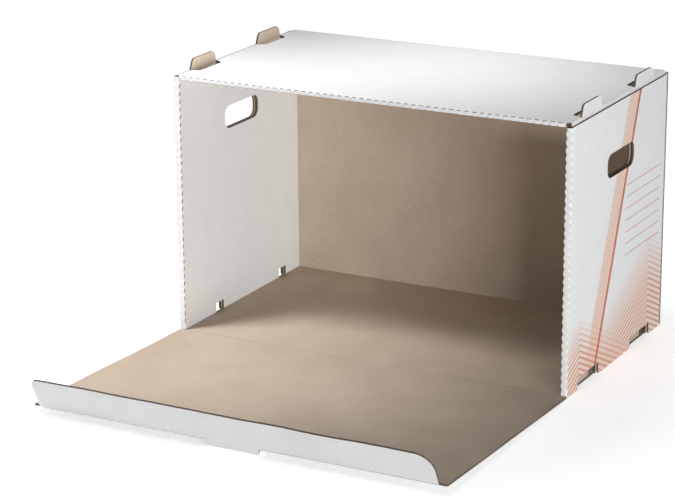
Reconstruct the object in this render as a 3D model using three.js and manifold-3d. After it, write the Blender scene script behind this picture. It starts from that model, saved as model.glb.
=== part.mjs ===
import * as THREE from 'three';
import * as BufferGeometryUtils from 'three/addons/utils/BufferGeometryUtils.js';
import Module from 'manifold-3d';

const wasm = await Module();
wasm.setup();

// An archive storage box of folded corrugated board, open at the front.
// Millimetres. X runs to the right, Y to the back, Z up. The origin is the middle of
// the underside of the box, so the carcass is centred on X and Y and stands on Z = 0.
// The front panel lies open on the table, towards -Y, with its tuck flap folded up.

// Board and carcass
const BOARD = 2.5;
const CLEARANCE = 0.3;
const INNER_WIDTH = 525;
const DEPTH = 306;
const HEIGHT = 338;
const FOLD_RADIUS = 2;

// Hem folded back under the front edge of the top panel
const HEM_DEPTH = 60;

// Side strips that the top and the bottom fold into the double side walls
const STRIP_HEIGHT = 40;
const STRIP_END_GAP = 4;

// Stacking tabs, cut out of the top panel and standing in the plane of its side strips
const TAB_HEIGHT = 14;
const TAB_LENGTH = 62;
const TAB_TAPER = 5;
const TAB_CORNER_RADIUS = 3.5;
const FRONT_TAB_START = 34;
const REAR_TAB_START = 201;

// Slots at the foot of each side wall, which take the tabs of the box below
const SLOT_SIDE_CLEARANCE = 1.5;
const SLOT_TOP_CLEARANCE = 1;
const SLOT_FLARE = 2.5;
const SLOT_CORNER_RADIUS = 2;
const SLOT_WINDOW_LENGTH = 19;

// Hand holes
const HAND_HOLE_LENGTH = 85;
const HAND_HOLE_HEIGHT = 30;
const HAND_HOLE_RADIUS = 11;
const HAND_HOLE_DROP = 80;

// Front panel, tuck flap and the pull tab at their crease
const PANEL_CORNER_RADIUS = 2;
const TUCK_HEIGHT = 43;
const TUCK_SIDE_CLEARANCE = 1.2;
const TUCK_TOP_CLEARANCE = 0.5;
const TUCK_LEFT_RADIUS = 10;
const TUCK_RIGHT_RADIUS = 22;
const TUCK_LEAN_DEG = 25;
const PULL_TAB_DEPTH = 10.5;
const PULL_TAB_WIDTH = 74;
const PULL_TAB_TAPER = 4;
const PULL_TAB_CORNER_RADIUS = 1;
const PULL_TAB_CLEARANCE = 0.5;

// Sizes that follow from the ones above
const SPINE_WIDTH = 3 * BOARD + 2 * CLEARANCE;
const HALF_INNER = INNER_WIDTH / 2;
const HALF_WIDTH = HALF_INNER + SPINE_WIDTH;
const HALF_FOLD = HALF_WIDTH - BOARD - CLEARANCE;
const FRONT_Y = -DEPTH / 2;
const BACK_Y = DEPTH / 2;
const RIM_HEIGHT = 2 * BOARD + CLEARANCE;
const WALL_TOP = HEIGHT - RIM_HEIGHT - CLEARANCE;
const WALL_BACK_Y = BACK_Y - BOARD - CLEARANCE;
const CREASE_GAP = CLEARANCE / 2;
const PANEL_LENGTH = WALL_TOP - 2 * BOARD - CREASE_GAP - TUCK_TOP_CLEARANCE;
const TUCK_HALF_LENGTH = HALF_INNER - TUCK_SIDE_CLEARANCE;
const TAB_STARTS = [FRONT_Y + FRONT_TAB_START, FRONT_Y + REAR_TAB_START];

// The open panel rests on its far end, on the lower edge of the pull tab
const TUCK_ANGLE = Math.PI / 2 - THREE.MathUtils.degToRad(TUCK_LEAN_DEG);
const CREASE_HEIGHT = PULL_TAB_DEPTH * Math.sin(TUCK_ANGLE) + BOARD * Math.cos(TUCK_ANGLE);
const PANEL_TILT = Math.asin((CREASE_HEIGHT - BOARD) / (PANEL_LENGTH + CREASE_GAP));

// Steps along a rounded corner, how far a cutting shape stands past the board, how far
// two runs of one board share a fold, and how near two points count as one
const ARC_STEPS = 5;
const OVERCUT = 5;
const FOLD_OVERLAP = 2 * BOARD;
const MERGE_DISTANCE = 1e-4;

// Solids and the boolean work between them

function toSolid(geometry) {
  const bare = geometry.index ? geometry.toNonIndexed() : geometry.clone();
  bare.deleteAttribute('normal');
  bare.deleteAttribute('uv');
  const merged = BufferGeometryUtils.mergeVertices(bare, MERGE_DISTANCE);
  return new wasm.Manifold(new wasm.Mesh({
    numProp: 3,
    vertProperties: new Float32Array(merged.attributes.position.array),
    triVerts: new Uint32Array(merged.index.array),
  }));
}

function toGeometry(solid) {
  const mesh = solid.getMesh();
  const geometry = new THREE.BufferGeometry();
  geometry.setAttribute('position', new THREE.BufferAttribute(mesh.vertProperties, 3));
  geometry.setIndex(new THREE.BufferAttribute(mesh.triVerts, 1));
  geometry.computeVertexNormals();
  return geometry;
}

function block(x, y, z) {
  const geometry = new THREE.BoxGeometry(x[1] - x[0], y[1] - y[0], z[1] - z[0]);
  geometry.translate((x[0] + x[1]) / 2, (y[0] + y[1]) / 2, (z[0] + z[1]) / 2);
  return toSolid(geometry);
}

function extruded(shape, depth) {
  return new THREE.ExtrudeGeometry(shape, { depth, bevelEnabled: false, curveSegments: ARC_STEPS });
}

// A closed outline from corners [x, y, radius], each rounded by its own radius
function roundedShape(corners) {
  const shape = new THREE.Shape();
  const count = corners.length;
  corners.forEach(([x, y, radius], i) => {
    const here = new THREE.Vector2(x, y);
    const before = new THREE.Vector2(...corners[(i + count - 1) % count]);
    const after = new THREE.Vector2(...corners[(i + 1) % count]);
    const entry = here.clone().add(before.sub(here).setLength(radius));
    const exit = here.clone().add(after.sub(here).setLength(radius));
    if (i === 0) shape.moveTo(entry.x, entry.y);
    else shape.lineTo(entry.x, entry.y);
    if (radius > 0) shape.quadraticCurveTo(x, y, exit.x, exit.y);
  });
  shape.closePath();
  return shape;
}

// The section of one board that follows a path of square folds. The path is its outside
// face, the board lies to the left of it, and each fold is rounded on the outside.
function foldedSection(path) {
  const last = path.length - 1;
  const points = path.map(([x, y]) => new THREE.Vector2(x, y));
  const inside = points.map((point, i) => {
    const offset = new THREE.Vector2();
    [i - 1, i].filter((k) => k >= 0 && k < last).forEach((k) => {
      const run = points[k + 1].clone().sub(points[k]).normalize();
      offset.add(new THREE.Vector2(-run.y, run.x));
    });
    return point.clone().addScaledVector(offset, BOARD);
  });
  const outer = points.map((p, i) => [p.x, p.y, i === 0 || i === last ? 0 : FOLD_RADIUS]);
  const inner = inside.map((p) => [p.x, p.y, 0]).reverse();
  return roundedShape([...outer, ...inner]);
}

function union(solids) {
  return solids.reduce((sum, solid) => sum.add(solid));
}

function mirrored(solid) {
  return solid.mirror([1, 0, 0]);
}

function cutFrom(solid, cutters) {
  return cutters.reduce((rest, cutter) => rest.subtract(cutter), solid);
}

// Sleeve: bottom, back and top panels with the front hem, side strips and stacking tabs

function sleeveStrip(path, halfWidth) {
  const geometry = extruded(foldedSection(path), 2 * halfWidth);
  geometry.rotateX(Math.PI / 2);
  geometry.rotateZ(Math.PI / 2);
  geometry.translate(-halfWidth, 0, 0);
  return toSolid(geometry);
}

// The tab's outline: [along Y, height above the fold, corner radius]
function stackingTabOutline(start) {
  return [
    [start, -BOARD, 0],
    [start + TAB_LENGTH, -BOARD, 0],
    [start + TAB_LENGTH, 0, 0],
    [start + TAB_LENGTH - TAB_TAPER, TAB_HEIGHT, TAB_CORNER_RADIUS],
    [start + TAB_TAPER, TAB_HEIGHT, TAB_CORNER_RADIUS],
    [start, 0, 0],
  ];
}

function standingTab(start) {
  const geometry = extruded(roundedShape(stackingTabOutline(start)), BOARD);
  geometry.rotateX(Math.PI / 2);
  geometry.rotateZ(Math.PI / 2);
  geometry.translate(HALF_FOLD - BOARD, 0, HEIGHT);
  return toSolid(geometry);
}

// The hole that the tab leaves in the top panel, beside its fold
function tabHole(start) {
  const reach = HALF_FOLD - BOARD;
  const shape = roundedShape([
    [reach - TAB_HEIGHT + BOARD, start + TAB_TAPER, TAB_CORNER_RADIUS],
    [reach, start, 0],
    [reach, start + TAB_LENGTH, 0],
    [reach - TAB_HEIGHT + BOARD, start + TAB_LENGTH - TAB_TAPER, TAB_CORNER_RADIUS],
  ]);
  const geometry = extruded(shape, BOARD + 2 * OVERCUT);
  geometry.translate(0, 0, HEIGHT - BOARD - OVERCUT);
  return toSolid(geometry);
}

function sideStrip(bottomZ, topZ) {
  const ends = [FRONT_Y + STRIP_END_GAP, BACK_Y - STRIP_END_GAP];
  return block([HALF_FOLD - BOARD, HALF_FOLD], ends, [bottomZ, topZ]);
}

// The rounded slot mouth at the foot of the side wall, as an outline in Y and Z
function slotOutline(start) {
  const y = [start - SLOT_SIDE_CLEARANCE, start + TAB_LENGTH + SLOT_SIDE_CLEARANCE];
  const top = TAB_HEIGHT + SLOT_TOP_CLEARANCE;
  return [
    [y[0] - SLOT_FLARE, -OVERCUT, 0],
    [y[1] + SLOT_FLARE, -OVERCUT, 0],
    [y[1] + SLOT_FLARE, 0, 0],
    [y[1], SLOT_FLARE, 0],
    [y[1], top, SLOT_CORNER_RADIUS],
    [y[0], top, SLOT_CORNER_RADIUS],
    [y[0], SLOT_FLARE, 0],
    [y[0] - SLOT_FLARE, 0, 0],
  ];
}

// A cutter through a side wall, from one X to another
function sideCutter(outline, fromX, toX) {
  const geometry = extruded(roundedShape(outline), toX - fromX);
  geometry.rotateX(Math.PI / 2);
  geometry.rotateZ(Math.PI / 2);
  geometry.translate(fromX, 0, 0);
  return toSolid(geometry);
}

function sleeve() {
  const panels = sleeveStrip(
    [[FRONT_Y, 0], [BACK_Y, 0], [BACK_Y, HEIGHT], [FRONT_Y + BOARD, HEIGHT]],
    HALF_FOLD,
  );
  const backMargins = block(
    [-HALF_WIDTH, HALF_WIDTH],
    [BACK_Y - BOARD, BACK_Y],
    [BOARD, HEIGHT - BOARD],
  );
  const hem = sleeveStrip(
    [
      [FRONT_Y + BOARD + FOLD_OVERLAP, HEIGHT],
      [FRONT_Y, HEIGHT],
      [FRONT_Y, HEIGHT - RIM_HEIGHT],
      [FRONT_Y + HEM_DEPTH, HEIGHT - RIM_HEIGHT],
    ],
    HALF_INNER - CLEARANCE,
  );
  const oneSide = [
    sideStrip(HEIGHT - STRIP_HEIGHT, HEIGHT),
    sideStrip(0, STRIP_HEIGHT),
    ...TAB_STARTS.map(standingTab),
  ];
  const spineNotch = block(
    [HALF_INNER - CLEARANCE, HALF_WIDTH],
    [FRONT_Y - OVERCUT, FRONT_Y + BOARD + CLEARANCE],
    [-OVERCUT, BOARD + OVERCUT],
  );
  const cuts = [
    ...TAB_STARTS.map(tabHole),
    ...TAB_STARTS.map((start) => sideCutter(slotOutline(start), HALF_FOLD - BOARD, HALF_WIDTH)),
    spineNotch,
  ];
  const whole = union([panels, backMargins, hem, ...oneSide, ...oneSide.map(mirrored)]);
  return cutFrom(whole, [...cuts, ...cuts.map(mirrored)]);
}

// Side wall: outer panel, front spine and inner panel, rolled over from one board

function handHole() {
  const z = HEIGHT - HAND_HOLE_DROP;
  const y = HAND_HOLE_LENGTH / 2;
  const half = HAND_HOLE_HEIGHT / 2;
  return sideCutter(
    [
      [-y, z - half, HAND_HOLE_RADIUS],
      [y, z - half, HAND_HOLE_RADIUS],
      [y, z + half, HAND_HOLE_RADIUS],
      [-y, z + half, HAND_HOLE_RADIUS],
    ],
    HALF_INNER - OVERCUT,
    HALF_WIDTH + OVERCUT,
  );
}

function rightWall() {
  const section = foldedSection([
    [HALF_INNER, WALL_BACK_Y],
    [HALF_INNER, FRONT_Y],
    [HALF_WIDTH, FRONT_Y],
    [HALF_WIDTH, WALL_BACK_Y],
  ]);
  const wall = toSolid(extruded(section, WALL_TOP));
  const foot = block(
    [HALF_INNER - OVERCUT, HALF_WIDTH - BOARD],
    [FRONT_Y + BOARD, BACK_Y],
    [-OVERCUT, BOARD + CLEARANCE],
  );
  const windows = TAB_STARTS.map((start) => {
    const rear = start + TAB_LENGTH + SLOT_SIDE_CLEARANCE;
    return block(
      [HALF_INNER - OVERCUT, HALF_WIDTH - BOARD],
      [rear - SLOT_WINDOW_LENGTH, rear],
      [-OVERCUT, TAB_HEIGHT + SLOT_TOP_CLEARANCE],
    );
  });
  const slots = TAB_STARTS.map((start) => (
    sideCutter(slotOutline(start), HALF_WIDTH - BOARD - CLEARANCE, HALF_WIDTH + OVERCUT)
  ));
  return cutFrom(wall, [foot, handHole(), ...windows, ...slots]);
}

// Front panel and tuck flap, drawn flat: X along the crease, Y away from the hinge and
// Z up through the board, with the board's inside face at Z = 0

function flatBoard(corners) {
  const geometry = extruded(roundedShape(corners), BOARD);
  geometry.translate(0, 0, -BOARD);
  return toSolid(geometry);
}

// The tab that stays on the tuck flap, past its crease, and the cut that frees it
function pullTab(crease, root, spare) {
  const halfRoot = PULL_TAB_WIDTH / 2 + spare;
  const halfTip = halfRoot - PULL_TAB_TAPER;
  const tip = crease - PULL_TAB_DEPTH - spare;
  return [
    [halfRoot, root, 0],
    [-halfRoot, root, 0],
    [-halfRoot, crease, 0],
    [-halfTip, tip, PULL_TAB_CORNER_RADIUS],
    [halfTip, tip, PULL_TAB_CORNER_RADIUS],
    [halfRoot, crease, 0],
  ];
}

function frontPanel() {
  const panel = flatBoard([
    [-HALF_WIDTH, 0, 0],
    [HALF_WIDTH, 0, 0],
    [HALF_WIDTH, PANEL_LENGTH, PANEL_CORNER_RADIUS],
    [-HALF_WIDTH, PANEL_LENGTH, PANEL_CORNER_RADIUS],
  ]);
  const tabOutline = pullTab(PANEL_LENGTH + CREASE_GAP, PANEL_LENGTH + OVERCUT, PULL_TAB_CLEARANCE);
  const cutter = extruded(roundedShape(tabOutline), BOARD + 2 * OVERCUT);
  cutter.translate(0, 0, -BOARD - OVERCUT);
  return panel.subtract(toSolid(cutter));
}

function tuckFlap() {
  const flap = flatBoard([
    [-TUCK_HALF_LENGTH, CREASE_GAP, 0],
    [TUCK_HALF_LENGTH, CREASE_GAP, 0],
    [TUCK_HALF_LENGTH, TUCK_HEIGHT, TUCK_RIGHT_RADIUS],
    [-TUCK_HALF_LENGTH, TUCK_HEIGHT, TUCK_LEFT_RADIUS],
  ]);
  return flap.add(flatBoard(pullTab(0, FOLD_OVERLAP, 0)));
}

// Assembly

function material(color) {
  return new THREE.MeshStandardMaterial({ color, roughness: 0.85, metalness: 0 });
}

const whiteBoard = material('#e3e4e6');
const wallBoard = material('#dcdcdd');
const kraftBoard = material('#c4b59a');

function named(name, solid, boardMaterial) {
  const mesh = new THREE.Mesh(toGeometry(solid), boardMaterial);
  mesh.name = name;
  return mesh;
}

const group = new THREE.Group();
const wall = rightWall();
group.add(named('sleeve', sleeve(), whiteBoard));
group.add(named('side_wall_right', wall, wallBoard));
group.add(named('side_wall_left', mirrored(wall), wallBoard));

// The hinge is the inside edge of the crease. A flat board drawn with Y away from the
// hinge is mirrored to point at -Y, which keeps its left and right ends.
const hinge = new THREE.Group();
hinge.position.set(0, FRONT_Y - CLEARANCE, BOARD);
hinge.rotation.x = -PANEL_TILT;
group.add(hinge);

function facingFront(solid) {
  return solid.mirror([0, 1, 0]);
}

hinge.add(named('front_panel', facingFront(frontPanel()), kraftBoard));

const crease = new THREE.Group();
crease.position.set(0, -PANEL_LENGTH - CREASE_GAP, 0);
crease.rotation.x = -(TUCK_ANGLE - PANEL_TILT);
hinge.add(crease);
crease.add(named('tuck_flap', facingFront(tuckFlap()), whiteBoard));

export default group;
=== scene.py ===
"""Looks of a folded corrugated-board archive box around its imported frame. Sizes in mm."""

import math

import bmesh
import bpy
import numpy as np
from mathutils import Matrix, Vector, geometry, noise


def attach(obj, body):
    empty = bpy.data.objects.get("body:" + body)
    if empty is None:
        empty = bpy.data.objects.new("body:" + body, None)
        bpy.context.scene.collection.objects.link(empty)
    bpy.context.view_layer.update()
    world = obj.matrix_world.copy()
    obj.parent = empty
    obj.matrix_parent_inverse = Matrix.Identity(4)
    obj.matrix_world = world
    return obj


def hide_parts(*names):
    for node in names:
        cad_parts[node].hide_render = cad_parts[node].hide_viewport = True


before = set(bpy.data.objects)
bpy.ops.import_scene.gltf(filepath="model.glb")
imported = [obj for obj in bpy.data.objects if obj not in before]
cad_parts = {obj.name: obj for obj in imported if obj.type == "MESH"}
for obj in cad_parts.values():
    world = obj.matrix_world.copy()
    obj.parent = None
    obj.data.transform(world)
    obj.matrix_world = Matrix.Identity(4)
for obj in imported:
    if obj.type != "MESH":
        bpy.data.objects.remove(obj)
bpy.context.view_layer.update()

MM = 0.001

# Driving sizes, the same as the solids'
BOARD = 2.5
CLEARANCE = 0.3
INNER_WIDTH = 525.0
DEPTH = 306.0
HEIGHT = 338.0
HEM_DEPTH = 60.0
STRIP_HEIGHT = 40.0
STRIP_END_GAP = 4.0
TAB_HEIGHT = 14.0
TAB_LENGTH = 62.0
TAB_TAPER = 5.0
TAB_CORNER_RADIUS = 3.5
TAB_TIP_RADIUS = 5.5
TAB_OFFSETS = (34.0, 201.0)
SLOT_SIDE_CLEARANCE = 1.5
SLOT_TOP_CLEARANCE = 1.0
SLOT_FLARE = 2.5
SLOT_CORNER_RADIUS = 2.0
SLOT_WINDOW_LENGTH = 19.0
HAND_HOLE_LENGTH = 85.0
HAND_HOLE_HEIGHT = 30.0
HAND_HOLE_RADIUS = 11.0
HAND_HOLE_DROP = 80.0
TUCK_HEIGHT = 43.0
TUCK_SIDE_CLEARANCE = 1.2
TUCK_TOP_CLEARANCE = 0.5
TUCK_LEFT_RADIUS = 10.0
TUCK_RIGHT_RADIUS = 22.0
TUCK_LEAN_DEG = 25.0
PULL_TAB_DEPTH = 10.5
PULL_TAB_WIDTH = 74.0
PULL_TAB_TAPER = 4.0
PULL_TAB_CLEARANCE = 0.5

SPINE_WIDTH = 3 * BOARD + 2 * CLEARANCE
HALF_INNER = INNER_WIDTH / 2
HALF_WIDTH = HALF_INNER + SPINE_WIDTH
HALF_FOLD = HALF_WIDTH - BOARD - CLEARANCE
FRONT_Y = -DEPTH / 2
BACK_Y = DEPTH / 2
RIM_HEIGHT = 2 * BOARD + CLEARANCE
WALL_TOP = HEIGHT - RIM_HEIGHT - CLEARANCE
WALL_DEPTH = DEPTH - BOARD - CLEARANCE
CREASE_GAP = CLEARANCE / 2
PANEL_LENGTH = WALL_TOP - 2 * BOARD - CREASE_GAP - TUCK_TOP_CLEARANCE
TUCK_HALF_LENGTH = HALF_INNER - TUCK_SIDE_CLEARANCE
TAB_STARTS = [FRONT_Y + offset for offset in TAB_OFFSETS]
TUCK_ANGLE = math.radians(90 - TUCK_LEAN_DEG)
CREASE_HEIGHT = PULL_TAB_DEPTH * math.sin(TUCK_ANGLE) + BOARD * math.cos(TUCK_ANGLE)
PANEL_TILT = math.asin((CREASE_HEIGHT - BOARD) / (PANEL_LENGTH + CREASE_GAP))

# Perforated creases: cuts and bridges take turns along the fold
PERF_PITCH = 10.0
PERF_CUT = 5.6
# The effect of a cut on the fold ends at this many half lengths from its middle
PERF_FADE = 1.4
PERF_HALF_WIDTH = 0.6
PERF_HALF_WIDTH_OUTER = 0.18
# Share of a pitch that a cut's middle keeps from the ends of its row
PERF_END_SHARE = 0.3
# How far a fold is rounded, on the bridges and at the cuts
FOLD_SOFTNESS = 1.5
FOLD_SOFTNESS_AT_CUT = 0.35
# How far the board bulges at a cut, and how wide the bulge is at the spine and at the rim
PERF_BULGE = 0.9
SPINE_BULGE_WIDTH = 2.2
RIM_BULGE_WIDTH = 2.0

# Mesh density
GRID = 14.0
SMALL_GRID = 5.0
TAB_GRID = 6.0
TUCK_GRID = 4.0
CREASE_COLUMNS = (-7.0, -4.0, -2.5, -1.2, 1.2, 2.5, 4.0, 7.0)
CREASE_ROWS = 2.0
SLEEVE_ROWS = 2.5
ARC_STEPS = 6
# Least distances between the points of an outline, and from a grid point to an outline or hole
ALIGN_GAP = 0.25
OUTLINE_GAP = 0.3
HOLE_GAP = 0.15
MERGE_DISTANCE = 1e-5
TINY = 1e-6
SHARP_ANGLE = math.radians(38)

# Slots of the boards' materials
OUTSIDE, INSIDE, RAW, PRINT = 0, 1, 2, 3


# Materials

class Value:
    """A shader number that makes Math nodes when it is used in a sum."""

    def __init__(self, tree, socket):
        self.tree = tree
        self.socket = socket

    def math(self, operation, *others, clamp=False):
        node = self.tree.nodes.new("ShaderNodeMath")
        node.operation = operation
        node.use_clamp = clamp
        self.tree.links.new(self.socket, node.inputs[0])
        for index, other in enumerate(others, start=1):
            if isinstance(other, Value):
                self.tree.links.new(other.socket, node.inputs[index])
            else:
                node.inputs[index].default_value = other
        return Value(self.tree, node.outputs[0])

    def __add__(self, other):
        return self.math("ADD", other)

    def __sub__(self, other):
        return self.math("SUBTRACT", other)

    def __mul__(self, other):
        return self.math("MULTIPLY", other)

    def fraction(self):
        return self.math("FRACT")

    def size(self):
        return self.math("ABSOLUTE")

    def above(self, edge, softness):
        """0 below edge, 1 above it, with a soft step."""
        return (self - (edge - softness / 2)).math("MULTIPLY", 1 / softness, clamp=True)

    def below(self, edge, softness):
        return (self.above(edge, softness) * -1.0) + 1.0

    def within(self, low, high, softness):
        return self.above(low, softness) * self.below(high, softness)


class Shader:
    """A new material with helpers for procedural colour, roughness and bump."""

    def __init__(self, name, roughness):
        self.material = bpy.data.materials.new(name)
        self.material.use_nodes = True
        self.tree = self.material.node_tree
        self.bsdf = self.tree.nodes["Principled BSDF"]
        self.bsdf.inputs["Roughness"].default_value = roughness
        self.bsdf.inputs["Specular IOR Level"].default_value = 0.35
        self.coords = self.tree.nodes.new("ShaderNodeTexCoord").outputs["Object"]

    def axes(self):
        """X, Y and Z in mm, in the frame of the part at rest."""
        node = self.tree.nodes.new("ShaderNodeSeparateXYZ")
        self.tree.links.new(self.coords, node.inputs[0])
        return [Value(self.tree, node.outputs[i]) * (1 / MM) for i in range(3)]

    def stretched(self, scale):
        node = self.tree.nodes.new("ShaderNodeMapping")
        node.inputs["Scale"].default_value = scale
        self.tree.links.new(self.coords, node.inputs["Vector"])
        return node.outputs[0]

    def noise(self, scale, detail, stretch=(1, 1, 1), contrast=(0.35, 0.65)):
        node = self.tree.nodes.new("ShaderNodeTexNoise")
        node.inputs["Scale"].default_value = scale
        node.inputs["Detail"].default_value = detail
        self.tree.links.new(self.stretched(stretch), node.inputs["Vector"])
        value = Value(self.tree, node.outputs[0])
        low, high = contrast
        return (value - low).math("MULTIPLY", 1 / (high - low), clamp=True)

    def mix(self, factor, first, second):
        node = self.tree.nodes.new("ShaderNodeMix")
        node.data_type = "RGBA"
        self.tree.links.new(factor.socket, node.inputs["Factor"])
        for socket, colour in ((node.inputs["A"], first), (node.inputs["B"], second)):
            if isinstance(colour, tuple):
                socket.default_value = (*colour, 1.0)
            else:
                self.tree.links.new(colour, socket)
        return node.outputs["Result"]

    def finish(self, colour, height, depth, strength):
        self.tree.links.new(colour, self.bsdf.inputs["Base Color"])
        bump = self.tree.nodes.new("ShaderNodeBump")
        bump.inputs["Strength"].default_value = strength
        bump.inputs["Distance"].default_value = depth
        self.tree.links.new(height.socket, bump.inputs["Height"])
        self.tree.links.new(bump.outputs[0], self.bsdf.inputs["Normal"])
        return self.material


# Colours of the liners, the print and the cut edges; the cut edges' colours are painted shade in
# the flute hollows and painted light on the flute walls, and both are kept dark as painted shade
# of the edge
WHITE = (0.80, 0.805, 0.81)
WHITE_WORN = (0.745, 0.745, 0.745)
PEACH = (0.80, 0.61, 0.50)
LINE_RED = (0.56, 0.17, 0.10)
ORANGE_RED = (0.52, 0.06, 0.025)
KRAFT = (0.50, 0.405, 0.32)
KRAFT_LIGHT = (0.62, 0.52, 0.42)
KRAFT_DARK = (0.34, 0.26, 0.19)
# Painted shade in the flute hollows of a cut edge, and the flute walls as painted light, both
# darkened as painted shade of the edge
FLUTE_HOLLOW_PAINTED_SHADE = (0.035, 0.027, 0.020)
FLUTE_WALL_PAINTED_LIGHT_SHADE = (0.21, 0.16, 0.115)

FLUTE_PITCH = 6.5
FLOOR_ROUGHNESS = 0.9
WHITE_ROUGHNESS = 0.52
PRINT_ROUGHNESS = 0.50
KRAFT_ROUGHNESS = 0.86
RAW_ROUGHNESS = 0.95
# Depths of the relief, in metres
WHITE_RELIEF = 0.00012
KRAFT_RELIEF = 0.00015
RAW_RELIEF = 0.0003


def coated_base(shader, flute_axis):
    """White liner: faint mottle, and the flutes showing through as shallow ribs."""
    mottle = shader.noise(scale=38.0, detail=5.0)
    grain = shader.noise(scale=900.0, detail=2.0)
    ribs = (flute_axis * (2 * math.pi / FLUTE_PITCH)).math("SINE")
    height = ribs * 0.35 + grain * 0.25 + mottle * 0.4
    return shader.mix(mottle * 0.35, WHITE, WHITE_WORN), height


def white_board(name, axis):
    shader = Shader(name, WHITE_ROUGHNESS)
    colour, height = coated_base(shader, shader.axes()[axis])
    return shader.finish(colour, height, depth=WHITE_RELIEF, strength=0.35)


def kraft_board(name, axis):
    """Brown liner with flecks, cloudy patches and fibres lying along the sheet."""
    shader = Shader(name, KRAFT_ROUGHNESS)
    ribs = (shader.axes()[axis] * (2 * math.pi / FLUTE_PITCH)).math("SINE")
    clouds = shader.noise(scale=14.0, detail=6.0)
    fibres = shader.noise(
        scale=420.0, detail=6.0, stretch=(0.5, 1.0, 1.0), contrast=(0.40, 0.68)
    )
    flecks = shader.noise(scale=700.0, detail=3.0, contrast=(0.52, 0.70))
    base = shader.mix(clouds * 0.45, KRAFT, KRAFT_LIGHT)
    fibred = shader.mix(fibres * 0.30, base, KRAFT_LIGHT)
    flecked = shader.mix(flecks * 0.50, fibred, KRAFT_DARK)
    height = ribs * 0.30 + fibres * 0.45 + clouds * 0.25
    return shader.finish(flecked, height, depth=KRAFT_RELIEF, strength=0.4)


def raw_edge(name, axis):
    """Cut edge: painted shade in the hollows between the flutes and painted light on the flutes'
    walls, both kept dark as painted shade of the edge; the torn noise is the edge's own
    roughness.
    """
    shader = Shader(name, RAW_ROUGHNESS)
    axes = shader.axes()
    along = (axes[axis] + axes[2]) * (1 / FLUTE_PITCH)
    # Painted light and shade: a lit band on each flute wall, painted shade in the hollows
    # between them
    wave = (along.fraction() - 0.5).size() * 2.0
    torn = shader.noise(scale=420.0, detail=4.0)
    # Mix of the painted flute light and shade with random tears
    factor = (wave.within(0.25, 0.75, 0.3) * 0.55) + torn * 0.30
    colour = shader.mix(factor, FLUTE_HOLLOW_PAINTED_SHADE, FLUTE_WALL_PAINTED_LIGHT_SHADE)
    return shader.finish(colour, torn, depth=RAW_RELIEF, strength=0.5)


# Print on the side walls: ruled writing lines, a straight hatched band and nested diamonds
RULE_FIRST_Z = 220.0
RULE_PITCH = 15.0
RULE_COUNT = 7
RULE_START_Y = 22.0
RULE_END_Y = 136.0
RULE_WIDTH = 1.1
BAND_SLOPE = 0.40
BAND_WIDTH = 38.0
BAND_FOOT_Y = -108.0
BAND_EDGE = 6.5
BAND_INK = 0.80
BAND_EDGE_INK = 0.94
HATCH_PITCH = 6.0
HATCH_SLOPE = 0.9
HATCH_LINE = (0.22, 0.62)
HATCH_INK = 0.45
# Middle y, middle z and reach of each field of nested diamonds
DIAMOND_FIELDS = ((104.0, -8.0, 150.0), (-118.0, -14.0, 108.0))
DIAMOND_PITCH = 7.5
DIAMOND_FLATNESS = 0.46
DIAMOND_LINE = (0.25, 0.60)
DIAMOND_FADE = 2.2
DIAMOND_FIELD_INK = 0.70
DIAMOND_LINE_INK = 0.85
RULE_INK = 0.90
LINE_SOFTNESS = 0.25


def printed_board(name):
    shader = Shader(name, PRINT_ROUGHNESS)
    _, y, z = shader.axes()
    colour, height = coated_base(shader, y)

    across = (y - BAND_FOOT_Y) - z * BAND_SLOPE
    band = across.within(0.0, BAND_WIDTH, 1.2)
    hatch = ((z + y * HATCH_SLOPE) * (1 / HATCH_PITCH)).fraction()
    hatch = hatch.within(*HATCH_LINE, LINE_SOFTNESS)
    band_edge = across.within(BAND_WIDTH - BAND_EDGE, BAND_WIDTH, 1.0)
    colour = shader.mix(band * BAND_INK, colour, PEACH)
    colour = shader.mix(band * hatch * HATCH_INK, colour, LINE_RED)

    for middle_y, middle_z, reach in DIAMOND_FIELDS:
        radius = (y - middle_y).size() * DIAMOND_FLATNESS + (z - middle_z).size()
        lines = (radius * (1 / DIAMOND_PITCH)).fraction()
        lines = lines.within(*DIAMOND_LINE, LINE_SOFTNESS)
        fade = (radius * (-1 / reach) + 1.0).math("MULTIPLY", DIAMOND_FADE, clamp=True)
        colour = shader.mix(fade * DIAMOND_FIELD_INK, colour, PEACH)
        colour = shader.mix(lines * fade * DIAMOND_LINE_INK, colour, LINE_RED)

    colour = shader.mix(band_edge * BAND_EDGE_INK, colour, ORANGE_RED)

    ruled_area = y.within(RULE_START_Y, RULE_END_Y, 0.6)
    place = (z * -1.0 + (RULE_FIRST_Z + RULE_PITCH / 2)) * (1 / RULE_PITCH)
    ruled_rows = place.within(0.0, RULE_COUNT, 0.01)
    half = RULE_WIDTH / RULE_PITCH / 2
    rules = place.fraction().within(0.5 - half, 0.5 + half, 0.03) * ruled_area * ruled_rows
    colour = shader.mix(rules * RULE_INK, colour, LINE_RED)
    return shader.finish(colour, height, depth=WHITE_RELIEF, strength=0.3)


WHITE_ALONG_X = white_board("white_liner_x", 0)
WHITE_ALONG_Y = white_board("white_liner_y", 1)
KRAFT_ALONG_X = kraft_board("kraft_liner_x", 0)
KRAFT_ALONG_Y = kraft_board("kraft_liner_y", 1)
RAW_ALONG_X = raw_edge("raw_edge_x", 0)
RAW_ALONG_Y = raw_edge("raw_edge_y", 1)
PRINTED = printed_board("printed_liner")


# Flat outlines, in mm on the unfolded board

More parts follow.
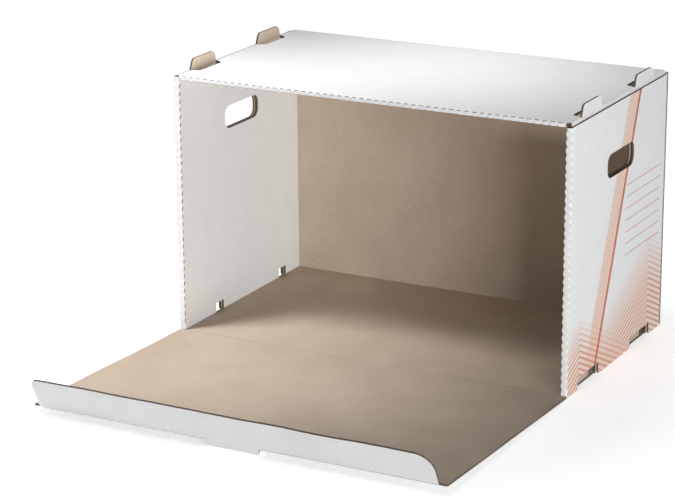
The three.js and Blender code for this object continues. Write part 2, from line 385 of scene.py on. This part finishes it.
def corner_arc(points, i, radius):
    """Points of the rounded corner i of a closed outline."""
    here = np.array(points[i][:2], float)
    if radius == 0:
        return [tuple(here)]
    before = np.array(points[i - 1][:2], float)
    after = np.array(points[(i + 1) % len(points)][:2], float)
    entry = here + (before - here) / np.linalg.norm(before - here) * radius
    leave = here + (after - here) / np.linalg.norm(after - here) * radius
    cosine = float((here - entry) @ (leave - here)) / radius ** 2
    pull = math.sqrt(max(0.0, (1 + cosine) / 2))
    arc = []
    for t in np.linspace(0, 1, ARC_STEPS + 1):
        shares = ((1 - t) ** 2, 2 * pull * t * (1 - t), t * t)
        point = shares[0] * entry + shares[1] * here + shares[2] * leave
        arc.append(tuple(point / sum(shares)))
    return arc


def rounded(points):
    """A closed outline from corners (u, v, radius)."""
    outline = []
    for i, point in enumerate(points):
        outline += corner_arc(points, i, point[2])
    return outline


def rectangle(u0, v0, u1, v1):
    return [(u0, v0), (u1, v0), (u1, v1), (u0, v1)]


def aligned(outline, columns, rows):
    """The outline with a point wherever it crosses a column or row of the grid."""
    result = []
    for i, (u0, v0) in enumerate(outline):
        u1, v1 = outline[(i + 1) % len(outline)]
        shares = {0.0}
        for begin, finish, lines in ((u0, u1, columns), (v0, v1, rows)):
            span = finish - begin
            if abs(span) > TINY:
                shares |= {(line - begin) / span for line in lines}
        closest = ALIGN_GAP / max(math.dist((u0, v0), (u1, v1)), TINY)
        last = -1.0
        for share in sorted(shares):
            if 0 <= share < 1 - closest and share - last > closest:
                result.append((u0 + (u1 - u0) * share, v0 + (v1 - v0) * share))
                last = share
    return result


def inside(points, outline):
    """Which points lie inside a closed outline."""
    points = np.asarray(points, float)
    result = np.zeros(len(points), bool)
    x, y = points[:, 0], points[:, 1]
    for i, (x1, y1) in enumerate(outline):
        x0, y0 = outline[i - 1]
        if y0 == y1:
            continue
        crosses = (y0 > y) != (y1 > y)
        result ^= crosses & (x < (x1 - x0) * (y - y0) / (y1 - y0) + x0)
    return result


def distance_to(points, outline):
    """How far points lie from a closed outline."""
    points = np.asarray(points, float)
    best = np.full(len(points), np.inf)
    for i, end in enumerate(outline):
        a = np.array(outline[i - 1], float)
        run = np.array(end, float) - a
        t = np.clip(((points - a) @ run) / max(run @ run, TINY ** 2), 0, 1)
        best = np.minimum(best, np.linalg.norm(points - a - t[:, None] * run, axis=1))
    return best


def triangulated(outline, holes, columns, rows):
    """Vertices and triangles of an outline with holes, filled with a grid of points."""
    loops = [outline, *holes]
    u, v = np.meshgrid(sorted(columns), sorted(rows))
    grid = np.stack([u.ravel(), v.ravel()], axis=1)
    keep = inside(grid, outline) & (distance_to(grid, outline) > OUTLINE_GAP)
    for hole in holes:
        keep &= ~inside(grid, hole) & (distance_to(grid, hole) > HOLE_GAP)
    vertices = [Vector(p) for loop in loops for p in loop]
    edges = []
    base = 0
    for loop in loops:
        edges += [(base + k, base + (k + 1) % len(loop)) for k in range(len(loop))]
        base += len(loop)
    vertices += [Vector(p) for p in grid[keep]]
    found = geometry.delaunay_2d_cdt(vertices, edges, [], 1, MERGE_DISTANCE)
    points = [tuple(p) for p in found[0]]
    middles = [np.mean([points[i] for i in face], axis=0) for face in found[2]]
    solid = inside(middles, outline)
    for hole in holes:
        solid &= ~inside(middles, hole)
    return points, [face for face, stays in zip(found[2], solid) if stays]


def spread(start, end, step, extra=()):
    """Grid positions from start to end, with finer columns round each extra one."""
    count = max(1, round((end - start) / step))
    values = set(np.round(np.linspace(start, end, count + 1), 4))
    for crease in extra:
        values = {value for value in values if abs(value - crease) > CREASE_COLUMNS[-1]}
    for crease in extra:
        values |= {round(crease + offset, 4) for offset in CREASE_COLUMNS}
    return sorted(values)


# Folding

def ease(x, softness):
    """A ramp that starts at 0 with a soft knee."""
    return (x + math.sqrt(x * x + softness * softness)) / 2


def fold_softness(cut):
    """How far a crease is rounded, where cut is 1 at a cut and 0 on a bridge."""
    return FOLD_SOFTNESS + (FOLD_SOFTNESS_AT_CUT - FOLD_SOFTNESS) * cut


def bulge(cut, distance, width):
    """How far the board stands out beside a cut, at a distance from its crease."""
    return PERF_BULGE * cut * math.exp(-(distance / width) ** 2)


class Fold:
    """A board with a quarter turn to the left at each crease, as a path in a plane.

    start and heading place the outside face, and creases are the u at which it turns.
    """

    def __init__(self, start, heading, creases):
        self.start = np.array(start, float)
        self.creases = creases
        self.headings = [np.array(heading, float)]
        for _ in creases:
            dx, dy = self.headings[-1]
            self.headings.append(np.array((-dy, dx)))
        self.inward = self.headings[1]

    def outer(self, u, softness):
        """The point of the outside face at u."""
        point = self.start + self.headings[0] * u
        for crease, before, after in zip(self.creases, self.headings, self.headings[1:]):
            point = point + (after - before) * ease(u - crease, softness)
        return point

    def inner(self, u, softness):
        """The point of the inside face at u."""
        point = self.start + self.inward * BOARD + self.headings[0] * u
        for crease, before, after in zip(self.creases, self.headings, self.headings[1:]):
            point = point - before * ease(u - crease + BOARD, softness)
            point = point + after * ease(u - crease - BOARD, softness)
        return point

    def at(self, u, w, softness):
        """The point at u and at depth w below the outside face."""
        share = w / BOARD
        return self.outer(u, softness) * (1 - share) + self.inner(u, softness) * share


def perforation(v):
    """1 in the middle of a cut of a perforated crease, 0 on its bridges."""
    phase = (v / PERF_PITCH) % 1.0
    edge = PERF_CUT / PERF_PITCH / 2
    return max(0.0, math.cos(min(1.0, abs(phase - 0.5) / (edge * PERF_FADE)) * math.pi / 2))


def perforation_cuts(crease, start, end, half_width=PERF_HALF_WIDTH):
    """Thin rectangular cuts through the board along a crease."""
    cuts = []
    first = math.ceil(start / PERF_PITCH - 0.5 + PERF_END_SHARE)
    last = int(end / PERF_PITCH - 0.5 - PERF_END_SHARE)
    for k in range(first, last + 1):
        middle = (k + 0.5) * PERF_PITCH
        cuts.append(rectangle(
            crease - half_width, middle - PERF_CUT / 2,
            crease + half_width, middle + PERF_CUT / 2,
        ))
    return cuts


# Boards

def board(bm, outline, holes, columns, rows, place, face_slot=None):
    """Adds one board: its outside face, inside face and cut edges.

    place(u, v, w) gives mm, and face_slot(middle) the material slot of an outside face.
    """
    outline = aligned(outline, columns, rows)
    holes = [aligned(hole, columns, rows) for hole in holes]
    points, triangles = triangulated(outline, holes, columns, rows)
    layers = []
    for w in (0.0, BOARD):
        layers.append([bm.verts.new(Vector(place(u, v, w)) * MM) for u, v in points])
    uses = {}
    for face in triangles:
        for k in range(3):
            edge = (face[k], face[(k + 1) % 3])
            uses[edge] = uses.get(edge, 0) + 1
    for face in triangles:
        middle = np.mean([points[i] for i in face], axis=0)
        outside = bm.faces.new([layers[0][i] for i in face])
        outside.material_index = face_slot(middle) if face_slot else OUTSIDE
        back = bm.faces.new([layers[1][i] for i in reversed(face)])
        back.material_index = INSIDE
    for a, b in [edge for edge in uses if (edge[1], edge[0]) not in uses]:
        wall = bm.faces.new([layers[0][b], layers[0][a], layers[1][a], layers[1][b]])
        wall.material_index = RAW


def board_object(name, build, materials, body, replaced):
    """A board in place of a solid. build(bm) adds its faces."""
    bm = bmesh.new()
    build(bm)
    bmesh.ops.recalc_face_normals(bm, faces=bm.faces)
    mesh = bpy.data.meshes.new(name)
    bm.to_mesh(mesh)
    bm.free()
    for material in materials:
        mesh.materials.append(material)
    for polygon in mesh.polygons:
        polygon.use_smooth = True
    mesh.set_sharp_from_angle(angle=SHARP_ANGLE)
    piece = bpy.data.objects.new(name, mesh)
    bpy.context.scene.collection.objects.link(piece)
    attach(piece, body)
    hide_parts(replaced)


BOW_SCALE = 0.006
BOW_SEED_STEP = 1.7


def bow(a, b, seed, amount):
    """Slow unevenness of a large sheet at (a, b), in mm."""
    spot = Vector((a * BOW_SCALE + seed, b * BOW_SCALE, seed * BOW_SEED_STEP))
    return noise.noise(spot) * amount


def ripple(a, scale, seed, amount):
    """Unevenness along an edge, in mm."""
    return noise.noise(Vector((a * scale, seed, 0.0))) * amount


# Side walls: flat u runs from the inner panel's rear edge over the spine to the outer panel's

INNER_CREASE = WALL_DEPTH
OUTER_CREASE = WALL_DEPTH + SPINE_WIDTH
WALL_RUN = 2 * WALL_DEPTH + SPINE_WIDTH
WALL_FOOT = BOARD + CLEARANCE
# The outer panels' raw edge stands higher than the inner panels', more so on the left
EDGE_RISE = {1: 0.8, -1: 4.3}
REAR_GAP = 2.0
SPINE_PERF_FOOT = 8.0
SPINE_PERF_TOP = WALL_TOP - 4.0
PRINT_START = OUTER_CREASE + 1.0
WALL_BOW_SEED = 3.1
WALL_BOW = 0.25
WALL_BOW_MARGIN = 10.0
WALL_BOW_FADE = 60.0


def inner_u(y):
    return INNER_CREASE - (y - FRONT_Y)


def outer_u(y):
    return OUTER_CREASE + (y - FRONT_Y)


def hand_hole(u_of):
    z = HEIGHT - HAND_HOLE_DROP
    half = HAND_HOLE_HEIGHT / 2
    ends = sorted((u_of(-HAND_HOLE_LENGTH / 2), u_of(HAND_HOLE_LENGTH / 2)))
    return rounded([
        (ends[0], z - half, HAND_HOLE_RADIUS),
        (ends[1], z - half, HAND_HOLE_RADIUS),
        (ends[1], z + half, HAND_HOLE_RADIUS),
        (ends[0], z + half, HAND_HOLE_RADIUS),
    ])


def foot_slots_outer():
    """The outer panel's lower edge from front to back, with the mouths of the slots."""
    top = TAB_HEIGHT + SLOT_TOP_CLEARANCE
    corners = []
    for start in TAB_STARTS:
        front = outer_u(start - SLOT_SIDE_CLEARANCE)
        rear = outer_u(start + TAB_LENGTH + SLOT_SIDE_CLEARANCE)
        corners += [
            (front - SLOT_FLARE, 0.0, 0),
            (front, SLOT_FLARE, 0),
            (front, top, SLOT_CORNER_RADIUS),
            (rear, top, SLOT_CORNER_RADIUS),
            (rear, SLOT_FLARE, 0),
            (rear + SLOT_FLARE, 0.0, 0),
        ]
    return corners


def foot_windows_inner():
    """The inner panel's lower edge from rear to front, with the open ends of the slots."""
    top = TAB_HEIGHT + SLOT_TOP_CLEARANCE
    corners = []
    for start in reversed(TAB_STARTS):
        rear = start + TAB_LENGTH + SLOT_SIDE_CLEARANCE
        corners += [
            (inner_u(rear), WALL_FOOT, 0),
            (inner_u(rear), top, 0),
            (inner_u(rear - SLOT_WINDOW_LENGTH), top, 0),
            (inner_u(rear - SLOT_WINDOW_LENGTH), WALL_FOOT, 0),
        ]
    return corners


def side_wall(side):
    """side is 1 for the right wall and -1 for the left one."""
    fold = Fold((HALF_INNER, FRONT_Y + WALL_DEPTH), (0, -1), [INNER_CREASE, OUTER_CREASE])
    foot_step = INNER_CREASE - BOARD
    edge_top = WALL_TOP + EDGE_RISE[side]
    if side > 0:
        spine_top = [(OUTER_CREASE + BOARD, edge_top, 0), (OUTER_CREASE + BOARD, WALL_TOP, 0)]
    else:
        spine_top = [(INNER_CREASE, edge_top, 0), (INNER_CREASE - BOARD, WALL_TOP, 0)]
    outline = rounded([
        (0.0, WALL_FOOT, 0),
        *foot_windows_inner(),
        (foot_step, WALL_FOOT, 0),
        (foot_step, 0.0, 0),
        (OUTER_CREASE, 0.0, 0),
        *foot_slots_outer(),
        (WALL_RUN - REAR_GAP, 0.0, 0),
        (WALL_RUN - REAR_GAP, edge_top, 0),
        *spine_top,
        (0.0, WALL_TOP, 0),
    ])
    holes = [hand_hole(inner_u), hand_hole(outer_u)]
    holes += perforation_cuts(INNER_CREASE, SPINE_PERF_FOOT, SPINE_PERF_TOP)
    holes += perforation_cuts(
        OUTER_CREASE, SPINE_PERF_FOOT, SPINE_PERF_TOP, PERF_HALF_WIDTH_OUTER
    )

    def place(u, v, w):
        cut = perforation(v)
        x, y = fold.at(u, w, fold_softness(cut))
        x -= bulge(cut, u - INNER_CREASE, SPINE_BULGE_WIDTH)
        if u > OUTER_CREASE + WALL_BOW_MARGIN or u < INNER_CREASE - WALL_BOW_MARGIN:
            share = min(1.0, abs(u - INNER_CREASE) / WALL_BOW_FADE)
            x += bow(y, v, WALL_BOW_SEED, WALL_BOW) * share
        return side * x, y, v

    def outside_slot(middle):
        return PRINT if middle[0] > PRINT_START else OUTSIDE

    columns = spread(0, WALL_RUN, GRID, (INNER_CREASE, OUTER_CREASE))
    rows = spread(0, WALL_TOP, CREASE_ROWS)
    return lambda bm: board(bm, outline, holes, columns, rows, place, outside_slot)


for side, label in ((1, "right"), (-1, "left")):
    board_object(
        f"wall_board_{label}", side_wall(side),
        (WHITE_ALONG_Y, KRAFT_ALONG_Y, RAW_ALONG_Y, PRINTED),
        "box", f"side_wall_{label}",
    )


# Sleeve: flat u runs along the bottom, up the back, over the top, down the rim and back
# under the hem; flat v is X

BACK_CREASE = DEPTH
TOP_CREASE = BACK_CREASE + HEIGHT
RIM_CREASE = TOP_CREASE + DEPTH
HEM_CREASE = RIM_CREASE + RIM_HEIGHT
SLEEVE_RUN = HEM_CREASE + HEM_DEPTH
SIDE_ROLL = BOARD
HALF_HEM = HALF_INNER - CLEARANCE
HALF_TOP = HALF_FOLD - SIDE_ROLL
RIM_PERF_MARGIN = 3.0
# The perforation works this far before the rim, and the panels bow this far off the creases
RIM_ZONE = 12.0
BOW_MARGIN = 20.0
TOP_BOW_SEED = 7.3
TOP_BOW = 0.9
TOP_SAG = 0.5
BACK_BOW_SEED = 2.3
BACK_BOW = 0.4
ROLL_SOFTNESS = 0.9
STRIP_ROWS = (0, 0.6, 1.2, 1.8, 2.4, 3.0, 3.8, 4.6, 5.5, 12, 25, SIDE_ROLL + STRIP_HEIGHT)
# Gap beside a standing tab's foot, in mm, and its inward lean per mm of height
TAB_SEAM = 0.02
TAB_LEAN = 0.02


def top_u(y):
    return TOP_CREASE + (BACK_Y - y)


def sleeve_outline():
    """Half widths change along the run: bottom, back margins, top with tab holes, hem."""
    right = [
        (0.0, HALF_HEM, 0),
        (BOARD + CLEARANCE, HALF_HEM, 0),
        (BOARD + CLEARANCE, HALF_TOP, 0),
        (BACK_CREASE, HALF_TOP, 0),
        (BACK_CREASE, HALF_WIDTH, 0),
        (TOP_CREASE - BOARD, HALF_WIDTH, 0),
        (TOP_CREASE - BOARD, HALF_TOP, 0),
    ]
    inner = HALF_FOLD - TAB_HEIGHT
    for start in reversed(TAB_STARTS):
        front, rear = top_u(start), top_u(start + TAB_LENGTH)
        right += [
            (rear, HALF_TOP, 0),
            (rear + TAB_TAPER, inner, TAB_CORNER_RADIUS),
            (front - TAB_TAPER, inner, TAB_CORNER_RADIUS),
            (front, HALF_TOP, 0),
        ]
    right += [
        (RIM_CREASE - BOARD, HALF_TOP, 0),
        (RIM_CREASE - BOARD, HALF_HEM, 0),
        (SLEEVE_RUN, HALF_HEM, 0),
    ]
    left = [(u, -v, r) for u, v, r in reversed(right)]
    return rounded([*left, *right])


def sleeve_board(bm):
    creases = (BACK_CREASE, TOP_CREASE, RIM_CREASE, HEM_CREASE)
    fold = Fold((FRONT_Y, 0.0), (1, 0), creases)
    outline = list(reversed(sleeve_outline()))
    reach = HALF_HEM - RIM_PERF_MARGIN
    holes = perforation_cuts(RIM_CREASE, -reach, reach)
    holes += perforation_cuts(HEM_CREASE, -reach, reach)

    def place(u, v, w):
        cut = perforation(v) if u > RIM_CREASE - RIM_ZONE else 0.0
        y, z = fold.at(u, w, fold_softness(cut))
        z -= bulge(cut, u - HEM_CREASE, RIM_BULGE_WIDTH)
        middle = math.cos(v / HALF_WIDTH * math.pi / 2)
        if TOP_CREASE + BOW_MARGIN < u < RIM_CREASE - BOW_MARGIN:
            run = math.sin((u - TOP_CREASE) / DEPTH * math.pi)
            z += (bow(v, u, TOP_BOW_SEED, TOP_BOW) - TOP_SAG) * middle * run
        if BACK_CREASE + BOW_MARGIN < u < TOP_CREASE - BOW_MARGIN:
            run = math.sin((u - BACK_CREASE) / HEIGHT * math.pi)
            y += bow(v, u, BACK_BOW_SEED, BACK_BOW) * run * middle
        return v, y, z

    columns = spread(0, SLEEVE_RUN, GRID, creases)
    rows = spread(-HALF_WIDTH, HALF_WIDTH, SLEEVE_ROWS)
    board(bm, outline, holes, columns, rows, place)
    for side in (1, -1):
        side_strips(bm, side)
        for start in TAB_STARTS:
            standing_tab(bm, side, start)


def rolled(side, height_at):
    """place() for a strip: flat u runs along Y, flat v from the panel down the strip."""

    def place(u, v, w):
        drop = ease(v - SIDE_ROLL, ROLL_SOFTNESS)
        x = HALF_TOP + v - drop
        angle = min(1.0, max(0.0, v / (2 * SIDE_ROLL))) * math.pi / 2
        return side * (x - w * math.sin(angle)), u, height_at(drop + w * math.cos(angle))

    return place


def side_strips(bm, side):
    """The strips that the top and the bottom fold down and up inside a side wall."""
    edges = [FRONT_Y + STRIP_END_GAP]
    for start in TAB_STARTS:
        edges += [start, start + TAB_LENGTH]
    edges.append(BACK_Y - STRIP_END_GAP)
    stretches = list(zip(edges[::2], edges[1::2]))
    for height_at in (lambda drop: HEIGHT - drop, lambda drop: drop):
        for start_y, end_y in stretches:
            outline = rectangle(start_y, 0.0, end_y, STRIP_ROWS[-1])
            if side < 0:
                outline = list(reversed(outline))
            columns = spread(start_y, end_y, GRID)
            board(bm, outline, [], columns, STRIP_ROWS, rolled(side, height_at))


def standing_tab(bm, side, start):
    """A stacking tab, cut from the top and upright in line with the strip below it."""
    foot = HEIGHT - STRIP_HEIGHT
    tip = HEIGHT + TAB_HEIGHT
    end = start + TAB_LENGTH
    outline = rounded([
        (start + TAB_SEAM, foot, 0),
        (end - TAB_SEAM, foot, 0),
        (end - TAB_SEAM, HEIGHT, 0),
        (end - TAB_TAPER, tip, TAB_TIP_RADIUS),
        (start + TAB_TAPER, tip, TAB_TIP_RADIUS),
        (start + TAB_SEAM, HEIGHT, 0),
    ])

    def place(u, v, w):
        return side * (HALF_FOLD - w - max(0.0, v - HEIGHT) * TAB_LEAN), u, v

    board(bm, outline, [], spread(start, end, TAB_GRID), spread(foot, tip, SMALL_GRID), place)


board_object(
    "sleeve_board", sleeve_board, (WHITE_ALONG_X, KRAFT_ALONG_X, RAW_ALONG_X),
    "box", "sleeve",
)


# Front panel and tuck flap. Flat u is X and flat v the distance from the crease; the
# inside face is up, so w runs from the outside face, below, to the inside face

HINGE = (FRONT_Y - CLEARANCE, BOARD)
PANEL_CORNER_RADIUS = 2.0
PULL_TAB_RADIUS = 1.0
PANEL_BOW_SEED = 5.7
PANEL_BOW = 1.6


def turned(distance, rise, angle, origin):
    """A point at a distance from a crease and a rise off the inside face, as (y, z)."""
    y = -(distance * math.cos(angle) - rise * math.sin(angle))
    z = distance * math.sin(angle) + rise * math.cos(angle)
    return origin[0] + y, origin[1] + z


CREASE = turned(PANEL_LENGTH + CREASE_GAP, 0.0, PANEL_TILT, HINGE)


def pull_tab(crease, root, spare):
    """Corners of the pull tab, or of its cut-out with spare room around it."""
    half_root = PULL_TAB_WIDTH / 2 + spare
    half_tip = half_root - PULL_TAB_TAPER
    tip = crease - PULL_TAB_DEPTH - spare
    return [
        (half_root, root, 0),
        (half_root, crease, 0),
        (half_tip, tip, PULL_TAB_RADIUS),
        (-half_tip, tip, PULL_TAB_RADIUS),
        (-half_root, crease, 0),
        (-half_root, root, 0),
    ]


def front_panel(bm):
    crease = PANEL_LENGTH + CREASE_GAP
    outline = rounded([
        (-HALF_WIDTH, 0.0, 0),
        (HALF_WIDTH, 0.0, 0),
        (HALF_WIDTH, PANEL_LENGTH, PANEL_CORNER_RADIUS),
        *pull_tab(crease, PANEL_LENGTH, PULL_TAB_CLEARANCE),
        (-HALF_WIDTH, PANEL_LENGTH, PANEL_CORNER_RADIUS),
    ])

    def place(u, v, w):
        middle = math.sin(min(1.0, v / PANEL_LENGTH) * math.pi)
        sag = bow(u, v, PANEL_BOW_SEED, PANEL_BOW) * middle
        y, z = turned(v, w - BOARD + sag, PANEL_TILT, HINGE)
        return u, y, z

    columns = spread(-HALF_WIDTH, HALF_WIDTH, GRID)
    rows = spread(0, PANEL_LENGTH, GRID)
    board(bm, outline, [], columns, rows, place)


board_object(
    "front_panel_board", front_panel, (WHITE_ALONG_X, KRAFT_ALONG_X, RAW_ALONG_X),
    "front_panel", "front_panel",
)


TOOTH_LENGTH = 2.8
TOOTH_STEP = 1.0
# The teeth end this far short of the pull tab
TOOTH_END_GAP = 1.0
# Scale per mm, seed and height of the unevenness along the flap's free edge
TUCK_WAVE = (0.011, 4.2, 2.0)
TUCK_RIPPLE = (0.05, 1.3, 0.35)


def perforated_edge(start, end):
    """The crease edge of the tuck flap from start to end, with the teeth of its cuts."""
    points = []
    steps = int(abs(end - start) / TOOTH_STEP)
    for k in range(1, steps):
        u = start + (end - start) * k / steps
        points.append((u, CREASE_GAP - TOOTH_LENGTH * perforation(u), 0))
    return points


def tuck_flap(bm):
    half = TUCK_HALF_LENGTH
    half_root = PULL_TAB_WIDTH / 2
    tab = pull_tab(0.0, CREASE_GAP, 0.0)[1:-1]
    outline = rounded([
        (-half, CREASE_GAP, 0),
        *perforated_edge(-half, -half_root - TOOTH_END_GAP),
        *reversed(tab),
        (half, CREASE_GAP, 0),
        (half, TUCK_HEIGHT, TUCK_RIGHT_RADIUS),
        (-half, TUCK_HEIGHT, TUCK_LEFT_RADIUS),
    ])

    def place(u, v, w):
        free = max(0.0, v / TUCK_HEIGHT)
        wave = ripple(u, *TUCK_WAVE) + ripple(u, *TUCK_RIPPLE)
        if v < 0 and u < -half_root - TOOTH_END_GAP / 2:
            # The torn teeth keep only the board's outer part, in front of the panel's edge
            behind = (CREASE_GAP - v * math.cos(TUCK_ANGLE)) / math.sin(TUCK_ANGLE)
            w = min(w, BOARD - behind)
        rise = w - BOARD + wave * free
        y, z = turned(v, rise, TUCK_ANGLE, CREASE)
        return u, y, z

    columns = spread(-half, half, TUCK_GRID)
    rows = spread(-PULL_TAB_DEPTH, TUCK_HEIGHT, SMALL_GRID)
    board(bm, outline, [], columns, rows, place)


board_object(
    "tuck_flap_board", tuck_flap, (WHITE_ALONG_X, KRAFT_ALONG_X, RAW_ALONG_X),
    "tuck_flap", "tuck_flap",
)


# Camera, floor and light

CAMERA_SPOT = (1353.0, -2587.0 - DEPTH / 2, 1058.0)
CAMERA_AZIMUTH = math.radians(28.28)
CAMERA_ELEVATION = math.radians(17.32)
CAMERA_ROLL = math.radians(-0.37)
FOCAL_PIXELS = 2496.0
IMAGE_WIDTH = 675.0
SENSOR = 36.0
# The floor's size and level in metres, and the reach of its glow in mm
FLOOR_SIZE = 30.0
FLOOR_LEVEL = -0.0002
FLOOR_WHITE = (0.85, 0.85, 0.85, 1)
FLOOR_GLOW_FAR = 0.92
FLOOR_GLOW_NEAR = 0.6
FLOOR_MIDDLE_Y = -170.0
FLOOR_NEAR_RADIUS = 560.0
FLOOR_FADE = 400.0


def add_camera():
    data = bpy.data.cameras.new("camera")
    data.sensor_width = SENSOR
    data.lens = FOCAL_PIXELS * SENSOR / IMAGE_WIDTH
    data.clip_end = 50
    camera = bpy.data.objects.new("camera", data)
    azimuth, elevation = CAMERA_AZIMUTH, CAMERA_ELEVATION
    back = Vector((
        math.sin(azimuth) * math.cos(elevation),
        -math.cos(azimuth) * math.cos(elevation),
        math.sin(elevation),
    ))
    right = Vector((math.cos(azimuth), math.sin(azimuth), 0.0))
    right = Matrix.Rotation(CAMERA_ROLL, 3, back) @ right
    up = back.cross(right)
    rotation = Matrix((right, up, back)).transposed().to_4x4()
    camera.matrix_world = Matrix.Translation(Vector(CAMERA_SPOT) * MM) @ rotation
    bpy.context.scene.collection.objects.link(camera)
    bpy.context.scene.camera = camera


def add_floor():
    """White to the camera and in reflections, with the object's soft shadow on it."""
    bpy.ops.mesh.primitive_plane_add(size=FLOOR_SIZE, location=(0, 0, FLOOR_LEVEL))
    floor = bpy.context.object
    floor.name = "floor"
    shader = Shader("floor_white", FLOOR_ROUGHNESS)
    tree = shader.tree
    shader.bsdf.inputs["Base Color"].default_value = FLOOR_WHITE
    path = tree.nodes.new("ShaderNodeLightPath").outputs
    seen = Value(tree, path["Is Camera Ray"]).math("MAXIMUM", Value(tree, path["Is Glossy Ray"]))
    seen = seen.math("MAXIMUM", Value(tree, path["Is Transmission Ray"]))
    shader.bsdf.inputs["Emission Color"].default_value = (1, 1, 1, 1)
    # The glow is less around the object, so that its shadow still shows there
    x, y, _ = shader.axes()
    from_middle = y - FLOOR_MIDDLE_Y
    distance = (x * x + from_middle * from_middle).math("SQRT")
    far = distance.above(FLOOR_NEAR_RADIUS, FLOOR_FADE)
    glow = far * (FLOOR_GLOW_FAR - FLOOR_GLOW_NEAR) + FLOOR_GLOW_NEAR
    tree.links.new((seen * glow).socket, shader.bsdf.inputs["Emission Strength"])
    floor.data.materials.append(shader.material)


def add_light(data, spot, target, power):
    """A light at spot that points at target, both in metres."""
    data.energy = power
    light = bpy.data.objects.new(data.name, data)
    light.location = spot
    direction = Vector(target) - Vector(spot)
    light.rotation_euler = direction.to_track_quat("-Z", "Y").to_euler()
    bpy.context.scene.collection.objects.link(light)


def area_lamp(name, width, height):
    data = bpy.data.lights.new(name, "AREA")
    data.shape = "RECTANGLE"
    data.size = width
    data.size_y = height
    return data


def spot_lamp(name, cone_degrees, radius):
    data = bpy.data.lights.new(name, "SPOT")
    data.spot_size = math.radians(cone_degrees)
    data.spot_blend = 1.0
    data.shadow_soft_size = radius
    return data


def add_world(strength):
    world = bpy.data.worlds.new("world")
    world.use_nodes = True
    background = world.node_tree.nodes["Background"]
    background.inputs["Color"].default_value = (1, 1, 1, 1)
    background.inputs["Strength"].default_value = strength
    bpy.context.scene.world = world


add_camera()
add_floor()
add_world(strength=0.13)
add_light(
    spot_lamp("key", cone_degrees=44, radius=0.14),
    spot=(-0.60, -0.50, 1.15), target=(-0.25, -0.22, 0.0), power=64,
)
add_light(
    area_lamp("top", width=0.36, height=0.36),
    spot=(0.01, 0.05, 0.70), target=(0.01, 0.0, 0.338), power=1.9,
)
add_light(
    area_lamp("fill", width=1.6, height=0.5),
    spot=(2.25, -2.05, 0.28), target=(0, -0.1, 0.15), power=75,
)
bpy.context.scene.view_settings.view_transform = "Standard"


def corners(bounds):
    return [[round(float(value), 6) for value in corner] for corner in bounds]
